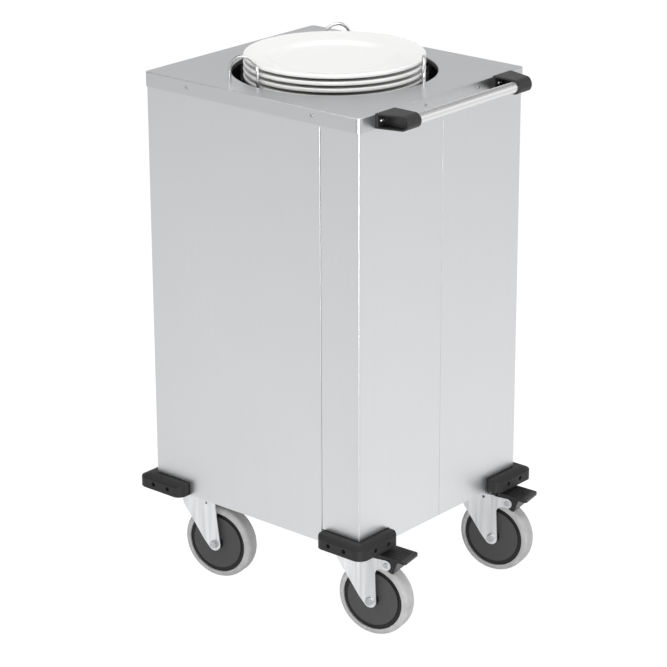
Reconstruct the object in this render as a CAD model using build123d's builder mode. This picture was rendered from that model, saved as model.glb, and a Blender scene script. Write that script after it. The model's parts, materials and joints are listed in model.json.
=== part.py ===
from build123d import *
import math
import os

os.makedirs("parts", exist_ok=True)

# Mobile plate dispenser. Millimetres, +Z up, the floor is z = 0.
# +X points to the side with the push handle. Whoever pushes stands there and
# walks towards -X, so their left hand is on the -Y side.

# ---- Driving sizes ------------------------------------------------------------
# Cover
cover_length = 490          # along X
cover_width = 450           # along Y
cover_top = 949             # height of the work surface above the floor
cover_sheet = 1.5
cover_flange = 26           # depth of the rim that hangs over the panels
cover_corner = 9            # radius of the vertical corners
cover_edge = 1.4            # radius of the bend along the top edges
opening_radius = 181        # the round plate opening
opening_lip = 9             # depth of its turned-down edge

# Body panels
body_bottom = 168           # height of the panels' lower edges
panel_sheet = 1.2
panel_inset = 3             # from the cover's outer face in to the panels
panel_bend = 3              # outer radius of the panels' vertical bends
corner_leg = 84.6           # width of a corner panel on the long sides
seam_gap = 0.8
seam_return = 12            # depth of the edge folded in at a seam
seam_return_gap = 2         # from the base pan and the frame to the folded edge
notch_height = 25.5         # cut-out in the panels that the bumper fills
notch_length = 82

# Base
pan_sheet = 1.5
pan_flange = 28
channel_width = 78
channel_height = 25
channel_sheet = 2
lower_plate_sheet = 2
lower_plate_margin = 6      # from the base pan's flange in to the lower plate
lower_plate_hole = 120      # radius of the hole in the lower plate

# Bumpers
bumper_out = 26             # how far a bumper stands out from the panels
bumper_height = 24
bumper_leg = 80             # from the panel's corner to the end of a leg
bumper_corner = 19
bumper_end_radius = 16      # in plan, at the two ends of the L
bumper_slope_run = 13       # sloping shoulder along the top
bumper_slope_drop = 6
bumper_hole_radius = 4.2
bumper_hole_depth = 9
bumper_holes = (40, 75)     # from the outer corner along each leg
bumper_screw_height = 11    # above the bumper's underside
bumper_screw_head_radius = 3.8
bumper_screw_head = 2.5
bumper_screw_radius = 2

# Push handle
handle_tube_radius = 10
handle_tube_wall = 1.5
handle_axis_out = 45        # from the cover's rim out to the tube's axis
handle_axis_down = 11.5     # from the cover's top down to the tube's axis
bracket_centre = 159.5      # from the middle of the cart to a bracket's middle
bracket_width = 51          # along the rim
bracket_taper = 16          # how much narrower the outer end is
bracket_wall = 3
bracket_base = 5
bracket_web = 3
bracket_edge = 1.2
handle_screw_radius = 2.9
handle_screw_head_radius = 5
handle_screw_head = 3.5

# Plates
plate_radius = 159.5
plate_height = 26
plate_pitch = 12            # rise from one plate to the next in the stack
plate_count = 4
plate_top = 30              # the uppermost rim above the cover's top
plate_thickness = 4.6
plate_lip = 5               # width of the flat rim round the plate's edge
plate_lip_rise = 0.6
plate_bevel = 1             # bevel under the rim
plate_foot_slope = 1        # how far the foot ring's inner side leans in
plate_well_slope = 2        # how much wider the well is underneath
plate_well_drop = 0.4       # how far the underside falls from the foot to there
point_tolerance = 0.1       # for picking a profile's corners
plate_foot_radius = 92
plate_foot_width = 5
plate_foot_height = 5.5
plate_well_radius = 108

# Guide loops of bent wire
wire_radius = 3
guide_clearance = 2.5       # between a plate's rim and a guide
guide_outer_radius = 194    # circle of the legs that pass through the cover
guide_loop_height = 44      # top of the bend's centre line above the cover
back_loop_drop = 6          # the loop by the far corner is set this much lower
guide_outer_angles = (242, 2, 122)
guide_leg_turn = 16         # angle from a loop's outer leg to its inner leg
wire_hole_clearance = 0.2

# Sprung carrier
platform_radius = 148
platform_sheet = 2
carrier_tube_radius = 45
carrier_tube_wall = 2
carrier_disc_radius = 105
carrier_disc_sheet = 3
arm_width = 24
bush_radius = 7.5
bush_height = 14
bush_rise = 3               # how far a bush stands above its plate
bush_clearance = 0.06
spring_circle = 192
spring_angles = (310, 70, 190)
spring_radius = 7
spring_bore = 5
spring_length = 172

# Support frame under the cover
frame_sheet = 2
frame_flange = 22
frame_opening_clearance = 3.5

# Casters, drawn about their own swivel axis
wheel_radius = 69
wheel_half_width = 16
tyre_inner_radius = 58
tyre_shoulder = 8
core_rim_half_width = 13
core_web_half_width = 5
core_rim_inner = 48.5
hub_radius = 12
hub_side_clearance = 1.1    # between the hub and the fork
guard_radius = 49.8
guard_thickness = 2.6
axle_radius = 4
axle_clearance = 0.06
axle_trail = 38             # from the swivel axis back to the axle
axle_head_across = 13
axle_head_height = 5.5
fork_half_width = 26
fork_sheet = 2.5
fork_nose = 42              # the fork's front, ahead of the swivel axis
fork_nose_radius = 16
fork_bend_x = 17            # where a flat side bends in towards the nose
fork_bend_radius = 5
fork_top_gap = 13           # from the panels' lower edges down to the fork
fork_boss_radius = 12.5
fork_front_edge = (         # x, and the share of the way from the head to the axle
    (-43, 0), (-42.5, 0.1), (-38.5, 0.19), (-33, 0.27), (-18.5, 0.467),
)
fork_rear_x = 44
fork_throat = 4             # from the rear edge on to the throat under the pedal's arm
fork_plain_rear_x = 40      # rear edge of a fork without a brake
fork_arm_fillet = 11
fork_hole_x = 22
fork_hole_drop = 6.5
fork_hole_radius = 2.5
bearing_radius = 32
bearing_height = 4.4
bearing_gap = 0.6
caster_plate_x = 77
caster_plate_y = 70
caster_plate_sheet = 3
caster_plate_corner = 6
caster_bolt_x = 60
caster_bolt_y = 53
caster_bolt_radius = 4
caster_bolt_hole = 4.3
caster_bolt_head = 3.5
caster_nut = 5
kingpin_radius = 6
kingpin_pan_clearance = 1
kingpin_head_radius = 10
kingpin_head_height = 3
handle_caster_in = 46       # from the cover's rim in to the swivel axes under the handle
back_caster_in = 73         # the same at the back
side_caster_in = 50.5       # the same from the long rims
caster_yaw = 11             # how far the standing casters are turned

# Brake pedals on the two casters under the handle
pedal_pivot_back = 31.5     # from the axle back to the pedal's pin
pedal_pivot_drop = 24       # from the panels' lower edges down to the pin
pedal_arm_radius = 9.5
pedal_pin_radius = 3
pedal_pin_clearance = 0.06
pedal_pin_head_radius = 5
pedal_pin_head_height = 1.5
pedal_half_width = 25
pedal_tip_out = 38          # from the pin out to the pedal's edge
pedal_heel_in = 20          # from the pin in to the pedal's heel
pedal_heel_rise = 18
pedal_tip_rise = 13
pedal_thickness = 5         # at the tip
pedal_arm_gap = 1.3         # between the fork's arms and the pedal's skirt
pedal_corner = 5
pedal_block_clearance = 1.3 # between the block and the fork's arms
shoe_clearance = 3          # between the raised shoe and the tyre
shoe_heel_x = -4            # the shoe's two ends, from the pin
shoe_toe_x = 13
shoe_toe_drop = 15
shoe_slope_x = 22           # where the block's sloping face meets the pedal
pedal_rib_count = 6
pedal_rib_pitch = 5
pedal_rib_width = 2
pedal_rib_height = 1.2

# Screws
screw_clearance = 0.2       # round every screw's shank
screw_end = 1.5             # how far a shank shows beyond the last sheet
cover_screw_head_radius = 3.6
cover_screw_head = 1.6
cover_screw_radius = 1.9
cover_screw_drop = 12
side_screw_offset = 142     # from the middle, on the two long rims
back_screw_offset = 110
handle_side_screws = (-52, 92)

# ---- Sizes worked out from the driving sizes -------------------------------------
panel_x = cover_length / 2 - panel_inset
panel_y = cover_width / 2 - panel_inset
rim_x = cover_length / 2
rim_y = cover_width / 2
handle_caster_x = rim_x - handle_caster_in
back_caster_x = back_caster_in - rim_x
caster_y = rim_y - side_caster_in
pan_x = panel_x - panel_sheet
pan_y = panel_y - panel_sheet
cover_underside = cover_top - cover_sheet
frame_underside = cover_underside - frame_sheet
yaw = math.radians(caster_yaw)
pedal_reach = axle_trail + pedal_pivot_back + pedal_tip_out
tip_x = (
    handle_caster_x
    + (pedal_reach - pedal_corner) * math.cos(yaw)
    + (pedal_half_width - pedal_corner) * math.sin(yaw)
    + pedal_corner
)
back_x = -(panel_x + bumper_out)
body_x = -(tip_x + back_x) / 2          # the body's middle in the object's frame
body = Location((body_x, 0, 0))

guide_inner_radius = plate_radius + guide_clearance + wire_radius
plate_foot_heights = [
    cover_top + plate_top - plate_height - plate_pitch * index for index in range(plate_count)
]
platform_top = plate_foot_heights[-1]
platform_underside = platform_top - platform_sheet
carrier_top = frame_underside - spring_length
channel_top = body_bottom + pan_sheet + channel_height


def polar(radius, degrees):
    """Point on a circle about the middle of the body."""
    angle = math.radians(degrees)
    return (radius * math.cos(angle), radius * math.sin(angle))


def save(part, name, place=body):
    """Label a finished piece, put it in the object's frame and write it."""
    placed = place * part
    placed.label = name
    export_step(placed, f"parts/{name}.step")


def guide_legs():
    """Plan positions of every loop's outer and inner leg."""
    legs = []
    for outer in guide_outer_angles:
        legs.append((polar(guide_outer_radius, outer), polar(guide_inner_radius, outer + guide_leg_turn)))
    return legs


def cover_screw_planes():
    """Planes on the cover's rim, one for each screw, facing outwards."""
    height = cover_top - cover_screw_drop
    planes = []
    for side in (-1, 1):
        for offset_x in (-side_screw_offset, side_screw_offset):
            planes.append(Plane(origin=(offset_x, side * rim_y, height), z_dir=(0, side, 0)))
    for offset_y in (-back_screw_offset, back_screw_offset):
        planes.append(Plane(origin=(-rim_x, offset_y, height), z_dir=(-1, 0, 0)))
    for offset_y in handle_side_screws:
        planes.append(Plane(origin=(rim_x, offset_y, height), z_dir=(1, 0, 0)))
    return planes


def handle_screw_planes():
    """Planes on the cover's rim for the two screws of each handle bracket."""
    planes = []
    for side in (-1, 1):
        for half in (-1, 1):
            offset_y = side * bracket_centre + half * (bracket_width + bracket_web) / 4
            planes.append(Plane(origin=(rim_x, offset_y, cover_top - handle_axis_down), z_dir=(1, 0, 0)))
    return planes


def drill(planes, radius, depth):
    """Round holes from each plane inwards, in the part being built."""
    with BuildSketch(*planes) as holes:
        Circle(radius)
    extrude(holes.sketch, amount=-depth, mode=Mode.SUBTRACT)


def drill_rim_screws():
    """Holes for the screws that hold the cover, the panels and the handle."""
    depth = panel_inset + panel_sheet + frame_sheet + screw_end
    drill(cover_screw_planes(), cover_screw_radius + screw_clearance, depth)
    drill(handle_screw_planes(), handle_screw_radius + screw_clearance, depth)


def add_screw(plane, head_radius, head_height, shank_radius, shank_length):
    """Round-headed screw that stands on a plane with its shank going in."""
    with BuildSketch(plane) as head:
        Circle(head_radius)
    extrude(head.sketch, amount=head_height)
    with BuildSketch(plane) as shank:
        Circle(shank_radius)
    extrude(shank.sketch, amount=-shank_length)


# ---- Cover -------------------------------------------------------------------------
with BuildPart() as top_cover:
    with BuildSketch(Plane.XY.offset(cover_top)):
        RectangleRounded(cover_length, cover_width, cover_corner)
    extrude(amount=-cover_flange)
    fillet(top_cover.faces().sort_by(Axis.Z)[-1].edges(), cover_edge)
    offset(amount=-cover_sheet, openings=top_cover.faces().sort_by(Axis.Z)[0])
    with BuildSketch(Plane.XY.offset(cover_top)):
        Circle(opening_radius + cover_sheet)
    extrude(amount=-opening_lip)
    with BuildSketch(Plane.XY.offset(cover_top)):
        Circle(opening_radius)
    extrude(amount=-opening_lip, mode=Mode.SUBTRACT)
    top_circles = top_cover.edges().filter_by(GeomType.CIRCLE).group_by(Axis.Z)[-1]
    fillet(top_circles.sort_by(SortBy.RADIUS)[-1], cover_edge)
    with BuildSketch(Plane.XY.offset(cover_top)):
        with Locations(*[outer for outer, inner in guide_legs()]):
            Circle(wire_radius + wire_hole_clearance)
    extrude(amount=-cover_sheet, mode=Mode.SUBTRACT)
    drill_rim_screws()
save(top_cover.part, "top_cover")

with BuildPart() as cover_screws:
    for screw_plane in cover_screw_planes():
        add_screw(
            screw_plane, cover_screw_head_radius, cover_screw_head, cover_screw_radius,
            panel_inset + panel_sheet + frame_sheet + screw_end,
        )
save(cover_screws.part, "cover_screws")

# ---- Body panels -------------------------------------------------------------------
seam_x = panel_x - corner_leg           # the edge of a corner panel on the long sides
panel_height = cover_underside - body_bottom
return_bottom = body_bottom + pan_flange + seam_return_gap
return_height = cover_underside - frame_flange - seam_return_gap - return_bottom


def panel_ring():
    """The body's sheet outline, closed all round, in the sketch being built."""
    RectangleRounded(2 * panel_x, 2 * panel_y, panel_bend)
    RectangleRounded(2 * pan_x, 2 * pan_y, panel_bend - panel_sheet, mode=Mode.SUBTRACT)


def cut_bumper_notch(end_x, side_y):
    """Open the lower corner of a panel so that the bumper reaches the base pan."""
    with BuildSketch(Plane.XY.offset(body_bottom)) as notch:
        with Locations((end_x * panel_x, side_y * panel_y)):
            Rectangle(2 * notch_length, 2 * notch_length)
    extrude(notch.sketch, amount=notch_height, mode=Mode.SUBTRACT)


def side_return(edge_x, side, towards):
    """Edge folded into the body at a side seam; towards is +1 for the handle side."""
    across = Align.MIN if towards > 0 else Align.MAX
    inwards = Align.MIN if side < 0 else Align.MAX
    with BuildSketch(Plane.XY.offset(return_bottom)) as folded:
        with Locations((edge_x, side * panel_y)):
            Rectangle(panel_sheet, seam_return, align=(across, inwards))
    extrude(folded.sketch, amount=return_height)


with BuildPart() as wrap_panel:
    with BuildSketch(Plane.XY.offset(body_bottom)):
        panel_ring()
        with Locations((seam_x - seam_gap, 0)):
            Rectangle(2 * cover_length, 2 * cover_width, align=(Align.MIN, Align.CENTER), mode=Mode.SUBTRACT)
    extrude(amount=panel_height)
    for side in (-1, 1):
        side_return(seam_x - seam_gap, side, -1)
        cut_bumper_notch(-1, side)
    drill_rim_screws()
save(wrap_panel.part, "wrap_panel")


def corner_panel(side):
    """Panel round one corner of the handle side; side is -1 for left, 1 for right."""
    beyond = Align.MIN if side < 0 else Align.MAX
    with BuildPart() as panel:
        with BuildSketch(Plane.XY.offset(body_bottom)):
            panel_ring()
            with Locations((seam_x, 0)):
                Rectangle(
                    cover_length, 2 * cover_width, align=(Align.MAX, Align.CENTER), mode=Mode.SUBTRACT
                )
            with Locations((0, side * seam_gap / 4)):
                Rectangle(2 * cover_length, cover_width, align=(Align.CENTER, beyond), mode=Mode.SUBTRACT)
        extrude(amount=panel_height)
        side_return(seam_x, side, 1)
        with BuildSketch(Plane.XY.offset(return_bottom)):
            with Locations((panel_x, side * seam_gap / 4)):
                Rectangle(seam_return, panel_sheet, align=(Align.MAX, Align.MAX if side < 0 else Align.MIN))
        extrude(amount=return_height)
        cut_bumper_notch(1, side)
        with BuildSketch(Plane.XY.offset(body_bottom)):
            with Locations((seam_x, side * panel_y)):
                Rectangle(2 * corner_leg, 2 * panel_bend)
        extrude(amount=notch_height, mode=Mode.SUBTRACT)
        drill_rim_screws()
    return panel.part


save(corner_panel(-1), "corner_panel_left")
save(corner_panel(1), "corner_panel_right")


# ---- Base and frame ----------------------------------------------------------------
def caster_places():
    """Name, end and swivel axis of each caster."""
    return [
        ("handle_left", handle_caster_x, -caster_y),
        ("handle_right", handle_caster_x, caster_y),
        ("back_left", back_caster_x, -caster_y),
        ("back_right", back_caster_x, caster_y),
    ]


def caster_place(x, y):
    """Frame of a standing caster, turned about its swivel axis."""
    return Location((body_x + x, y, 0), (0, 0, caster_yaw))


def drill_caster_bolts(height, depth):
    """Holes for the bolts of all four casters, upwards from a height."""
    with BuildSketch(Plane.XY.offset(height)) as holes:
        with Locations(*[(x, y) for name, x, y in caster_places()]):
            with GridLocations(caster_bolt_x, caster_bolt_y, 2, 2):
                Circle(caster_bolt_hole)
    extrude(holes.sketch, amount=depth, mode=Mode.SUBTRACT)


def bumper_screw_planes(end_x, side_y):
    """Planes on a bumper's outer faces, one for each of its screws."""
    outer_x = panel_x + bumper_out
    outer_y = panel_y + bumper_out
    height = body_bottom + bumper_screw_height
    planes = []
    for distance in bumper_holes:
        along_x = end_x * (outer_x - distance)
        along_y = side_y * (outer_y - distance)
        planes.append(Plane(origin=(along_x, side_y * outer_y, height), z_dir=(0, side_y, 0)))
        planes.append(Plane(origin=(end_x * outer_x, along_y, height), z_dir=(end_x, 0, 0)))
    return planes


bumper_depth = bumper_out + panel_sheet
with BuildPart() as base_pan:
    with BuildSketch(Plane.XY.offset(body_bottom)):
        RectangleRounded(2 * pan_x, 2 * pan_y, panel_bend - panel_sheet)
    extrude(amount=pan_flange)
    offset(amount=-pan_sheet, openings=base_pan.faces().sort_by(Axis.Z)[-1])
    drill_caster_bolts(body_bottom, pan_sheet)
    for name, x, y in caster_places():
        with BuildSketch(Plane.XY.offset(body_bottom)):
            with Locations((x, y)):
                Circle(kingpin_radius + kingpin_pan_clearance)
        extrude(amount=pan_sheet, mode=Mode.SUBTRACT)
    for end_x in (-1, 1):
        for side_y in (-1, 1):
            drill(
                bumper_screw_planes(end_x, side_y), bumper_screw_radius + screw_clearance,
                bumper_depth + pan_sheet + screw_end,
            )
save(base_pan.part, "base_pan")


def crossmember(x):
    """Channel across the base pan over one pair of casters, open at the top."""
    length = 2 * (pan_y - pan_sheet)
    floor = body_bottom + pan_sheet
    with BuildPart() as channel:
        with BuildSketch(Plane.XY.offset(floor)):
            with Locations((x, 0)):
                Rectangle(channel_width, length)
        extrude(amount=channel_height)
        with BuildSketch(Plane.XY.offset(floor + channel_sheet)):
            with Locations((x, 0)):
                Rectangle(channel_width - 2 * channel_sheet, length)
        extrude(amount=channel_height, mode=Mode.SUBTRACT)
        drill_caster_bolts(floor, channel_sheet)
    return channel.part


save(crossmember(handle_caster_x), "crossmember_handle")
save(crossmember(back_caster_x), "crossmember_back")

with BuildPart() as lower_guide_plate:
    with BuildSketch(Plane.XY.offset(channel_top)):
        plate_edge = pan_sheet + lower_plate_margin
        Rectangle(2 * (pan_x - plate_edge), 2 * (pan_y - plate_edge))
        Circle(lower_plate_hole, mode=Mode.SUBTRACT)
        for outer, inner in guide_legs():
            with Locations(outer, inner):
                Circle(wire_radius + wire_hole_clearance, mode=Mode.SUBTRACT)
    extrude(amount=lower_plate_sheet)
save(lower_guide_plate.part, "lower_guide_plate")

with BuildPart() as support_frame:
    with BuildSketch(Plane.XY.offset(cover_underside)):
        RectangleRounded(2 * pan_x, 2 * pan_y, panel_bend - panel_sheet)
    extrude(amount=-frame_flange)
    offset(amount=-frame_sheet, openings=support_frame.faces().sort_by(Axis.Z)[0])
    with BuildSketch(Plane.XY.offset(cover_underside)):
        Circle(opening_radius + frame_opening_clearance)
        for outer, inner in guide_legs():
            with Locations(outer):
                Circle(wire_radius + wire_hole_clearance)
    extrude(amount=-frame_sheet, mode=Mode.SUBTRACT)
    drill_rim_screws()
save(support_frame.part, "support_frame")


# ---- Bumpers -----------------------------------------------------------------------
def corner_bumper(end_x, side_y):
    """L-shaped buffer round a lower corner, with deep holes for its screws."""
    outer_x = panel_x + bumper_out
    outer_y = panel_y + bumper_out
    leg = bumper_leg + bumper_out
    shoulder = body_bottom + bumper_height - bumper_slope_drop
    with BuildPart() as bumper:
        with BuildSketch(Plane.XY.offset(body_bottom)):
            RectangleRounded(2 * outer_x, 2 * outer_y, bumper_corner)
        extrude(amount=bumper_height - bumper_slope_drop)
        with BuildSketch(Plane.XY.offset(shoulder)):
            RectangleRounded(2 * outer_x, 2 * outer_y, bumper_corner)
        with BuildSketch(Plane.XY.offset(shoulder + bumper_slope_drop)):
            RectangleRounded(
                2 * (outer_x - bumper_slope_run), 2 * (outer_y - bumper_slope_run),
                bumper_corner - bumper_slope_run,
            )
        loft()
        with BuildSketch(Plane.XY.offset(body_bottom)) as outline:
            with Locations((end_x * outer_x, side_y * outer_y)):
                Rectangle(2 * leg, 2 * leg)
            Rectangle(2 * outer_x, 2 * outer_y, mode=Mode.INTERSECT)
            Rectangle(2 * pan_x, 2 * pan_y, mode=Mode.SUBTRACT)
            leg_ends = []
            for vertex in outline.vertices():
                from_x = abs(vertex.X - end_x * outer_x)
                from_y = abs(vertex.Y - side_y * outer_y)
                if abs(max(from_x, from_y) - leg) < 0.01 and min(from_x, from_y) < 0.01:
                    leg_ends.append(vertex)
            fillet(leg_ends, bumper_end_radius)
        extrude(amount=bumper_height, mode=Mode.INTERSECT)
        drill(bumper_screw_planes(end_x, side_y), bumper_hole_radius, bumper_hole_depth)
        drill(
            bumper_screw_planes(end_x, side_y), bumper_screw_radius + screw_clearance, bumper_depth
        )
    return bumper.part


save(corner_bumper(1, -1), "bumper_handle_left")
save(corner_bumper(1, 1), "bumper_handle_right")
save(corner_bumper(-1, -1), "bumper_back_left")
save(corner_bumper(-1, 1), "bumper_back_right")

with BuildPart() as bumper_screws:
    for end_x in (-1, 1):
        for side_y in (-1, 1):
            for outer_plane in bumper_screw_planes(end_x, side_y):
                add_screw(
                    outer_plane.offset(-bumper_hole_depth), bumper_screw_head_radius, bumper_screw_head,
                    bumper_screw_radius, bumper_depth - bumper_hole_depth + pan_sheet,
                )
save(bumper_screws.part, "bumper_screws")

# ---- Push handle -------------------------------------------------------------------
handle_axis_x = rim_x + handle_axis_out
handle_axis_z = cover_top - handle_axis_down
bracket_nose = handle_tube_radius + bracket_wall
bracket_inside = bracket_centre - bracket_web / 2       # inner face of a bracket's web


def bracket_side(y, radius, back_x):
    """Side outline of a bracket: flat at the back and round about the tube's axis."""
    with BuildSketch(Plane.XZ.offset(-y)) as outline:
        with Locations((handle_axis_x, handle_axis_z)):
            Circle(radius)
            Rectangle(handle_axis_x - back_x, 2 * radius, align=(Align.MAX, Align.CENTER))
    return outline.sketch


def handle_bracket(side):
    """Plastic bracket with a web in the middle and a pocket on either side of it."""
    outer_y = side * bracket_centre + bracket_width / 2
    inner_y = side * bracket_centre - bracket_width / 2
    pocket_depth = (bracket_width - bracket_web) / 2
    with BuildPart() as bracket:
        extrude(bracket_side(outer_y, bracket_nose, rim_x), amount=bracket_width)
        far_y = side * (bracket_centre + bracket_width / 2)
        nose_x = handle_axis_x + bracket_nose
        with BuildSketch(Plane.XY.offset(cover_top - handle_axis_down)) as wedge:
            with BuildLine():
                Polyline((rim_x, far_y), (nose_x, far_y), (nose_x, far_y - side * bracket_taper), close=True)
            make_face()
        extrude(wedge.sketch, amount=bracket_nose, both=True, mode=Mode.SUBTRACT)
        outer_faces = bracket.faces().filter_by(lambda face: abs(face.normal_at().Y) > 0.9)
        side_edges = [e for e in outer_faces.edges() if e.center().X > rim_x + bracket_edge]
        fillet(side_edges, bracket_edge)
        for face_y, depth in ((outer_y, pocket_depth), (inner_y, -pocket_depth)):
            pocket = bracket_side(face_y, handle_tube_radius, rim_x + bracket_base)
            extrude(pocket, amount=depth, mode=Mode.SUBTRACT)
        base_planes = [plane.offset(bracket_base) for plane in handle_screw_planes()]
        drill(base_planes, handle_screw_radius + screw_clearance, bracket_base)
    return bracket.part


save(handle_bracket(-1), "handle_bracket_left")
save(handle_bracket(1), "handle_bracket_right")

with BuildPart() as handle_tube:
    with BuildSketch(Plane.XZ.offset(-bracket_inside)):
        with Locations((handle_axis_x, handle_axis_z)):
            Circle(handle_tube_radius)
            Circle(handle_tube_radius - handle_tube_wall, mode=Mode.SUBTRACT)
    extrude(amount=2 * bracket_inside)
save(handle_tube.part, "handle_tube")

with BuildPart() as handle_screws:
    for screw_plane in handle_screw_planes():
        add_screw(
            screw_plane.offset(bracket_base), handle_screw_head_radius, handle_screw_head,
            handle_screw_radius, bracket_base + panel_inset + panel_sheet + frame_sheet + screw_end,
        )
save(handle_screws.part, "handle_screws")


# ---- Guide loops -------------------------------------------------------------------
def guide_loop(index):
    """Wire bent into a hoop; both legs run down to the lower guide plate."""
    outer, inner = guide_legs()[index]
    half_gap = math.dist(outer, inner) / 2
    drop = back_loop_drop if index == 2 else 0
    bend_height = cover_top + guide_loop_height - drop - half_gap
    middle = ((outer[0] + inner[0]) / 2, (outer[1] + inner[1]) / 2)
    with BuildPart() as loop:
        with BuildLine() as path:
            Line((*outer, channel_top), (*outer, bend_height))
            ThreePointArc(
                (*outer, bend_height), (*middle, bend_height + half_gap), (*inner, bend_height)
            )
            Line((*inner, bend_height), (*inner, channel_top))
        with BuildSketch(Plane(origin=(*outer, channel_top), z_dir=(0, 0, 1))):
            Circle(wire_radius)
        sweep(path=path.line)
    return loop.part


save(guide_loop(0), "guide_loop_left")
save(guide_loop(1), "guide_loop_handle")
save(guide_loop(2), "guide_loop_back")

# ---- Sprung carrier ----------------------------------------------------------------
inner_legs = [inner for outer, inner in guide_legs()]
leg_angles = [angle + guide_leg_turn for angle in guide_outer_angles]


def arms(angles, reach):
    """Straight arms with round ends, from the middle outwards."""
    for degrees in angles:
        with PolarLocations(reach / 2, 1, degrees):
            Rectangle(reach, arm_width)
        with PolarLocations(reach, 1, degrees):
            Circle(arm_width / 2)


with BuildPart() as stack_platform:
    with BuildSketch(Plane.XY.offset(platform_underside)):
        Circle(platform_radius)
        arms(leg_angles, guide_inner_radius)
        with Locations(*inner_legs):
            Circle(bush_radius, mode=Mode.SUBTRACT)
    extrude(amount=platform_sheet)
save(stack_platform.part, "stack_platform")

with BuildPart() as carrier_spider:
    with BuildSketch(Plane.XY.offset(carrier_top - carrier_disc_sheet)):
        Circle(carrier_disc_radius)
        arms(leg_angles, guide_inner_radius)
        arms(spring_angles, spring_circle)
        with Locations(*inner_legs):
            Circle(bush_radius, mode=Mode.SUBTRACT)
    extrude(amount=carrier_disc_sheet)
    with BuildSketch(Plane.XY.offset(carrier_top)):
        Circle(carrier_tube_radius)
        Circle(carrier_tube_radius - carrier_tube_wall, mode=Mode.SUBTRACT)
    extrude(amount=platform_underside - carrier_top)
save(carrier_spider.part, "carrier_spider")

with BuildPart() as carrier_bushes:
    for top in (platform_top + bush_rise, carrier_top + bush_rise):
        with BuildSketch(Plane.XY.offset(top)):
            with Locations(*inner_legs):
                Circle(bush_radius)
                Circle(wire_radius + bush_clearance, mode=Mode.SUBTRACT)
        extrude(amount=-bush_height)
save(carrier_bushes.part, "carrier_bushes")

with BuildPart() as carrier_springs:
    with BuildSketch(Plane.XY.offset(carrier_top)):
        with Locations(*[polar(spring_circle, degrees) for degrees in spring_angles]):
            Circle(spring_radius)
            Circle(spring_bore, mode=Mode.SUBTRACT)
    extrude(amount=spring_length)
save(carrier_springs.part, "carrier_springs")


# ---- Plates ------------------------------------------------------------------------
def plate():
    """Round plate with a foot ring, drawn from its foot upwards."""
    foot_inner = plate_foot_radius - plate_foot_width / 2
    foot_outer = plate_foot_radius + plate_foot_width / 2
    floor = plate_pitch - plate_foot_height
    well_under_radius = plate_well_radius + plate_well_slope
    with BuildPart() as dish:
        with BuildSketch(Plane.XZ) as profile:
            with BuildLine():
                Polyline(
                    (0, plate_foot_height),
                    (foot_inner - plate_foot_slope, plate_foot_height),
                    (foot_inner, 0),
                    (foot_outer, 0),
                    (well_under_radius, plate_foot_height - plate_well_drop),
                    (plate_radius - plate_bevel, plate_height - plate_thickness),
                    (plate_radius, plate_height - plate_thickness + plate_bevel),
                    (plate_radius, plate_height),
                    (plate_radius - plate_lip, plate_height - plate_lip_rise),
                    (plate_well_radius, plate_foot_height + floor),
                    (0, plate_foot_height + floor),
                    close=True,
                )
            make_face()
            rim_points = profile.vertices().filter_by_position(
                Axis.X, plate_radius - point_tolerance, plate_radius + point_tolerance
            )
            fillet(rim_points.sort_by(Axis.Y)[-1], plate_thickness / 3)
            well_points = profile.vertices().filter_by_position(
                Axis.X, plate_well_radius - point_tolerance, well_under_radius + point_tolerance
            )
            fillet(well_points, 2 * plate_thickness)
            foot_points = profile.vertices().group_by(Axis.Y)[0]
            fillet(foot_points, plate_foot_width / 4)
        revolve(axis=Axis.Z)
    return dish.part


dish = plate()
for index, foot_height in enumerate(plate_foot_heights):
    save(dish, f"plate_{index + 1}", Location((body_x, 0, foot_height)))

# ---- Casters -----------------------------------------------------------------------
# Every piece of a caster is drawn once about its swivel axis, trailing towards +X.
axle_point = (axle_trail, wheel_radius)
hub_half_width = fork_half_width - fork_sheet - hub_side_clearance
pedal_block_half_width = fork_half_width - fork_sheet - pedal_block_clearance
fork_top = body_bottom - fork_top_gap
fork_head_underside = fork_top - fork_sheet
fork_inner = fork_half_width - fork_sheet
pedal_pin = (axle_trail + pedal_pivot_back, body_bottom - pedal_pivot_drop)
race_underside = fork_top + bearing_height


def caster_plate():
    """Square top plate with the fixed half of the bearing under it."""
    with BuildPart() as mount:
        with BuildSketch(Plane.XY.offset(body_bottom)):
            RectangleRounded(caster_plate_x, caster_plate_y, caster_plate_corner)
            with GridLocations(caster_bolt_x, caster_bolt_y, 2, 2):
                Circle(caster_bolt_hole, mode=Mode.SUBTRACT)
        extrude(amount=-caster_plate_sheet)
        with BuildSketch(Plane.XY.offset(race_underside + bearing_gap)):
            Circle(bearing_radius)
        extrude(amount=body_bottom - caster_plate_sheet - race_underside - bearing_gap)
        with BuildSketch(Plane.XY.offset(body_bottom)):
            Circle(kingpin_radius)
        extrude(amount=-caster_plate_sheet - bearing_radius, mode=Mode.SUBTRACT)
    return mount.part


def tangent_point(point, centre, radius, turn):
    """Where a line from a point touches a circle; turn picks one of the two sides."""
    gap = math.dist(point, centre)
    towards = math.atan2(centre[1] - point[1], centre[0] - point[0])
    swing = math.asin(radius / gap)
    reach = math.sqrt(gap * gap - radius * radius)
    angle = towards + turn * swing
    return (point[0] + reach * math.cos(angle), point[1] + reach * math.sin(angle))


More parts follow.
